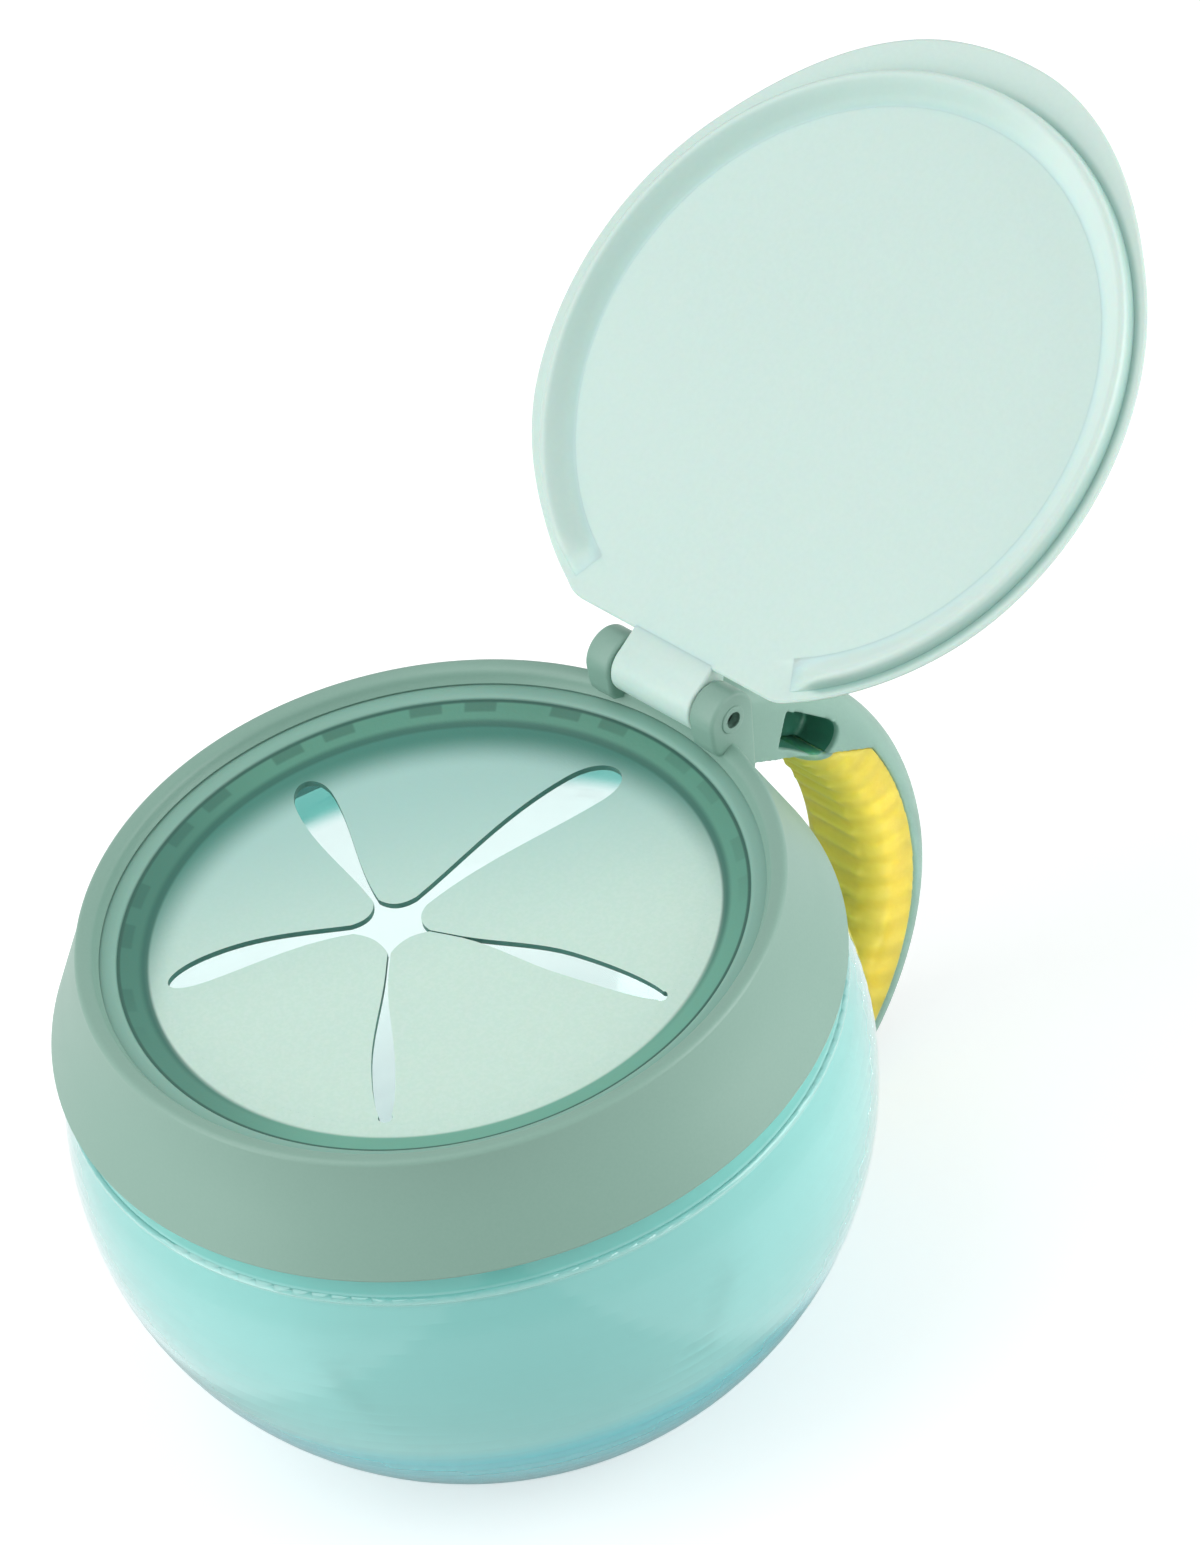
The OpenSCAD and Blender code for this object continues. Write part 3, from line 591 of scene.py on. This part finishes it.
# Painted shade: deeper mint in the corner outside the bead and on its inner slope, measured round the closed
# lid
pin = (0, hinge_y * mm, hinge_z * mm)
from_pin = vectors(tree, "SUBTRACT", place_of(tree), pin)[0]
turned_back = [("Vector", from_pin), ("Angle", -open_by)]
closed = node(tree, "ShaderNodeVectorRotate", turned_back, rotation_type="X_AXIS").outputs[0]
x, y, z = axes_of(tree, vectors(tree, "ADD", closed, pin)[0])
out = length_of(tree, node(tree, "ShaderNodeCombineXYZ", [(0, x), (1, y)]).outputs[0])
corner = product(
    tree, ramp_mm(tree, out, 41.0, 41.35), ramp_mm(tree, out, 42.4, 41.5), ramp_mm(tree, x, -12, 14), 0.7)
on_slope = product(
    tree, ramp_mm(tree, out, 36.8, 37.4), ramp_mm(tree, out, 40.6, 39.8), ramp_mm(tree, y, 34.8, 32.5))
# Painted light: the slope is paler at the right
painted_band_light = product(tree, on_slope, ramp_mm(tree, x, -4, 16), 0.7)
fainter_far = sums(tree, "MULTIPLY_ADD", ramp_mm(tree, y, 34, 2), 0.6, 0.4)
slope_shade = product(tree, on_slope, ramp_mm(tree, x, 16, -20), fainter_far, 0.38)
below_rim = product(tree, ramp_mm(tree, z, rim_z + 0.25, rim_z + 0.05), ramp_mm(tree, y, 35.8, 34.8))
# Painted shade in the corner and on the inner slope
painted_shade = product(tree, sums(tree, "MAXIMUM", corner, slope_shade), below_rim)
tone = blend_colours(tree, painted_band_light, tone, (0.74, 0.9, 0.85))
tree.links.new(blend_colours(tree, painted_shade, tone, (0.29, 0.5, 0.44)), shader.inputs["Base Color"])
shader.inputs["Subsurface Weight"].default_value = 0.2
shader.inputs["Subsurface Scale"].default_value = 2 * mm
dress(lid, mint)
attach(lid, "lid")
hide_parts("lid")

# Hinge pin. A plain steel rod pressed through both ears and the lid's knuckle, its ends sunk
# below the ears' faces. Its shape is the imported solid.
steel, tree, shader = start_material("steel in painted hole shade", 0.45)
stretched = [("Vector", place_of(tree)), ("Scale", (200.0, 4000.0, 4000.0))]
brushed = node(tree, "ShaderNodeMapping", stretched).outputs[0]
lines = node(tree, "ShaderNodeTexNoise", [("Vector", brushed), ("Scale", 1.0)]).outputs["Fac"]
# Painted shade: the steel is dark green-grey, for the shade in the ears' holes
tone = blend_colours(tree, lines, (0.05, 0.09, 0.075), (0.09, 0.14, 0.12))
tree.links.new(tone, shader.inputs["Base Color"])
shader.inputs["Metallic"].default_value = 0.3
dress(nodes["hinge_pin"], steel)

# Handle. A C in the same sage plastic as the collar, which it grows from behind the hinge, with a
# blind pocket in each side of the arm. The soft grip is moulded on inside it.


def softened(name, source, voxel, smoothing):
    """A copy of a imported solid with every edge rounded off, as its mould rounds it."""
    nothing_selected()
    source.select_set(True)
    bpy.context.view_layer.objects.active = source
    bpy.ops.object.duplicate()
    piece = bpy.context.object
    piece.name = piece.data.name = name
    bpy.ops.object.parent_clear(type="CLEAR_KEEP_TRANSFORM")
    bpy.ops.object.mode_set(mode="EDIT")
    tidy_faces()
    remesh = piece.modifiers.new("even faces", "REMESH")
    remesh.mode = "VOXEL"
    remesh.voxel_size = voxel * mm
    remesh.use_smooth_shade = True
    rounding = piece.modifiers.new("rounding", "SMOOTH")
    rounding.iterations = smoothing
    bpy.ops.object.modifier_apply(modifier=remesh.name)
    bpy.ops.object.modifier_apply(modifier=rounding.name)
    return piece


handle = softened("handle_arm", nodes["handle_frame"], 0.3, 3)
dress(handle, moulded_sage("handle sage plastic"))
# Painted shade: the plastic is darker inside the pockets
handle.data.materials.append(moulded_sage("pocket shade sage plastic", -0.19))
bend_y, bend_z, pocket_r = 27.9, 33.0, 41.4
pocket_half, pocket_from, pocket_to, arm_half = 2.9, 34, 57, 6.6
for face in handle.data.polygons:
    at_x, at_y, at_z = (v / mm for v in face.center)
    off = math.hypot(at_y - bend_y, at_z - bend_z) - pocket_r
    along = math.degrees(math.atan2(at_z - bend_z, at_y - bend_y))
    if abs(off) < pocket_half and pocket_from < along < pocket_to and abs(at_x) < arm_half:
        face.material_index = 1
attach(handle, "collar")
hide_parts("handle_frame")

# Grip. Soft matt yellow rubber moulded over a core on the inside of the handle, in low waves for
# the fingers.
grip_r, wave_length = 37.5, 3.6

yellow, tree, shader = start_material("soft yellow rubber", 0.62)
fine = noise(tree, 1400.0)
_, y, z = axes_of(tree, place_of(tree))
bend_off = [sums(tree, "SUBTRACT", v, at * mm) for v, at in ((y, bend_y), (z, bend_z))]
up_bend = sums(tree, "ARCTAN2", bend_off[1], bend_off[0])
waves = sums(tree, "COSINE", sums(tree, "MULTIPLY", up_bend, 2 * math.pi * grip_r / wave_length))
bump(tree, shader, sums(tree, "MULTIPLY_ADD", fine, 0.1, waves), 0.28 * mm, 0.8)
tone = blend_colours(tree, noise(tree, 40.0), (0.8, 0.55, 0.05), (0.86, 0.61, 0.065))
# Painted highlight: paler along the crests of the waves
tone = blend_colours(tree, sums(tree, "MULTIPLY_ADD", waves, 0.12, 0.12), tone, (0.97, 0.73, 0.13))
tone = blend_colours(tree, fine, tone, (0.88, 0.63, 0.08))


def hypotenuse(tree, one, other):
    squares = sums(tree, "MULTIPLY_ADD", one, one, sums(tree, "MULTIPLY", other, other))
    return sums(tree, "SQRT", squares)


# The grip's imported solid reaches a little way into each pocket. Its faces there, and a strip beside them,
# are painted in the handle's colour and in the pocket's painted shade
pocket_end = math.radians(39)
end_y = bend_y + pocket_r * math.cos(pocket_end)
end_z = bend_z + pocket_r * math.sin(pocket_end)
end_off = [sums(tree, "SUBTRACT", v, at * mm) for v, at in ((y, end_y), (z, end_z))]
from_end = hypotenuse(tree, *end_off)
from_row = sums(tree, "SUBTRACT", hypotenuse(tree, *bend_off), pocket_r * mm)
from_row = sums(tree, "ABSOLUTE", from_row)
before = ramp_between(tree, up_bend, math.radians(39.2), math.radians(38.8))
from_pocket = sums(tree, "MINIMUM", from_end, sums(tree, "MULTIPLY_ADD", before, 0.1, from_row))
tone = blend_colours(tree, ramp_mm(tree, from_pocket, 3.95, 3.8), tone, (0.225, 0.39, 0.315))
tone = blend_colours(tree, ramp_mm(tree, from_pocket, 2.7, 2.5), tone, (0.03, 0.19, 0.12))
tree.links.new(tone, shader.inputs["Base Color"])
shader.inputs["Subsurface Weight"].default_value = 0.8
shader.inputs["Subsurface Radius"].default_value = (1.0, 0.95, 0.3)
shader.inputs["Subsurface Scale"].default_value = 8 * mm
grip = softened("soft_grip", nodes["handle_grip"], 0.35, 7)
dress(grip, yellow)
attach(grip, "collar")
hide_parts("handle_grip")

# The studio: a plain white floor, a white room, two soft boxes low at the sides, a large one above
# at the left, a narrow one aimed at the handle, and the camera where the photographer stood.
nothing_selected()
bpy.ops.mesh.primitive_plane_add(size=6, location=(0, 0, -0.3 * mm))
floor = bpy.context.object
floor.name = floor.data.name = "floor"
white_floor, tree, shader = start_material("white floor", 0.9)
shader.inputs["Base Color"].default_value = (0.72, 0.72, 0.72, 1)
shader.inputs["Specular IOR Level"].default_value = 0.1


def shows_background(tree, in_gloss):
    """1 for what the camera sees directly or through clear plastic, in_gloss in reflections, otherwise 0."""
    path = node(tree, "ShaderNodeLightPath").outputs
    direct = sums(tree, "MAXIMUM", path["Is Camera Ray"], path["Is Transmission Ray"])
    return sums(tree, "MAXIMUM", direct, sums(tree, "MULTIPLY", path["Is Glossy Ray"], in_gloss))


# Painted reflection: gloss picks up the floor glowing in strips at the left and the right of the bowl
az = math.radians(52.875)
x, y, _ = axes_of(tree, place_of(tree))
sideways = sums(tree, "MULTIPLY_ADD", x, math.cos(az), sums(tree, "MULTIPLY", y, math.sin(az)))
off_glow_strips = sums(tree, "ABSOLUTE", sums(tree, "ADD", sideways, 7 * mm))
gloss_glow_strips = product(tree, ramp_mm(tree, off_glow_strips, 44, 52), 0.8)
# The floor stays white where the lamps no longer reach it
out = length_of(tree, place_of(tree))
own = sums(tree, "MULTIPLY_ADD", ramp_between(tree, out, 0.25, 1.3), 0.22, 0.48)
strength = product(tree, shows_background(tree, gloss_glow_strips), own)
glow = node(tree, "ShaderNodeEmission", [("Strength", strength)])
both = node(tree, "ShaderNodeAddShader")
tree.links.new(shader.outputs[0], both.inputs[0])
tree.links.new(glow.outputs[0], both.inputs[1])
tree.links.new(both.outputs[0], tree.nodes["Material Output"].inputs[0])
dress(floor, white_floor)

world = bpy.data.worlds.new("white room")
bpy.context.scene.world = world
world.use_nodes = True
tree = world.node_tree
# The room is white to look at, and lights the part less than that
strength = sums(tree, "MULTIPLY_ADD", shows_background(tree, 0.8), 0.56, 0.44)
tree.links.new(strength, tree.nodes["Background"].inputs["Strength"])
tree.nodes["Background"].inputs["Color"].default_value = (1, 1, 1, 1)

el, roll = math.radians(41.859), math.radians(-11.808)
back = Vector((math.sin(az) * math.cos(el), -math.cos(az) * math.cos(el), math.sin(el)))
flat = Vector((math.cos(az), math.sin(az), 0))
up = back.cross(flat)
side = flat * math.cos(roll) + up * math.sin(roll)
rise = -flat * math.sin(roll) + up * math.cos(roll)
far = 712.643 * mm
toward = Vector((math.sin(az), -math.cos(az), 0))

bowl_at = (0, 0, 0.05)
grip_at = (0, 0.068, 0.034)
# Name, how far right, towards the camera and up it hangs, size, power, spread and what it is aimed at
lamp_rows = (
    ("right box", 0.75, 0.15, 0.3, 0.6, 4.2, 180, bowl_at),
    ("left box", -0.75, 0.25, 0.32, 0.6, 2.8, 180, bowl_at),
    ("key", -0.5, 0.1, 1.0, 0.8, 4.0, 180, bowl_at),
    ("handle light", 0.2, 0.4, 0.09, 0.04, 0.003, 8, grip_at))
for name, right, near, height, size, power, spread, target in lamp_rows:
    place = flat * right + toward * near + Vector((0, 0, height))
    lamp = bpy.data.lights.new(name, "AREA")
    lamp.size = size
    lamp.energy = power
    lamp.spread = math.radians(spread)
    holder = bpy.data.objects.new(name, lamp)
    bpy.context.scene.collection.objects.link(holder)
    aim = (Vector(target) - place).to_track_quat("-Z", "Y").to_matrix().to_4x4()
    holder.matrix_world = Matrix.Translation(place) @ aim

lens = bpy.data.cameras.new("camera")
lens.sensor_fit = "HORIZONTAL"
lens.sensor_width = 36
lens.lens = 180
camera = bpy.data.objects.new("camera", lens)
bpy.context.scene.collection.objects.link(camera)
view = Matrix((side, rise, back)).transposed().to_4x4()
# The camera looks past the pivot by these shares of its distance
shift_right, shift_down = 0.034865, 0.004821
pivot = Vector((0, 0, 99.859 * mm))
view.translation = pivot + side * shift_right * far - rise * shift_down * far + back * far
camera.matrix_world = view
bpy.context.scene.camera = camera
bpy.context.scene.view_settings.view_transform = "Standard"
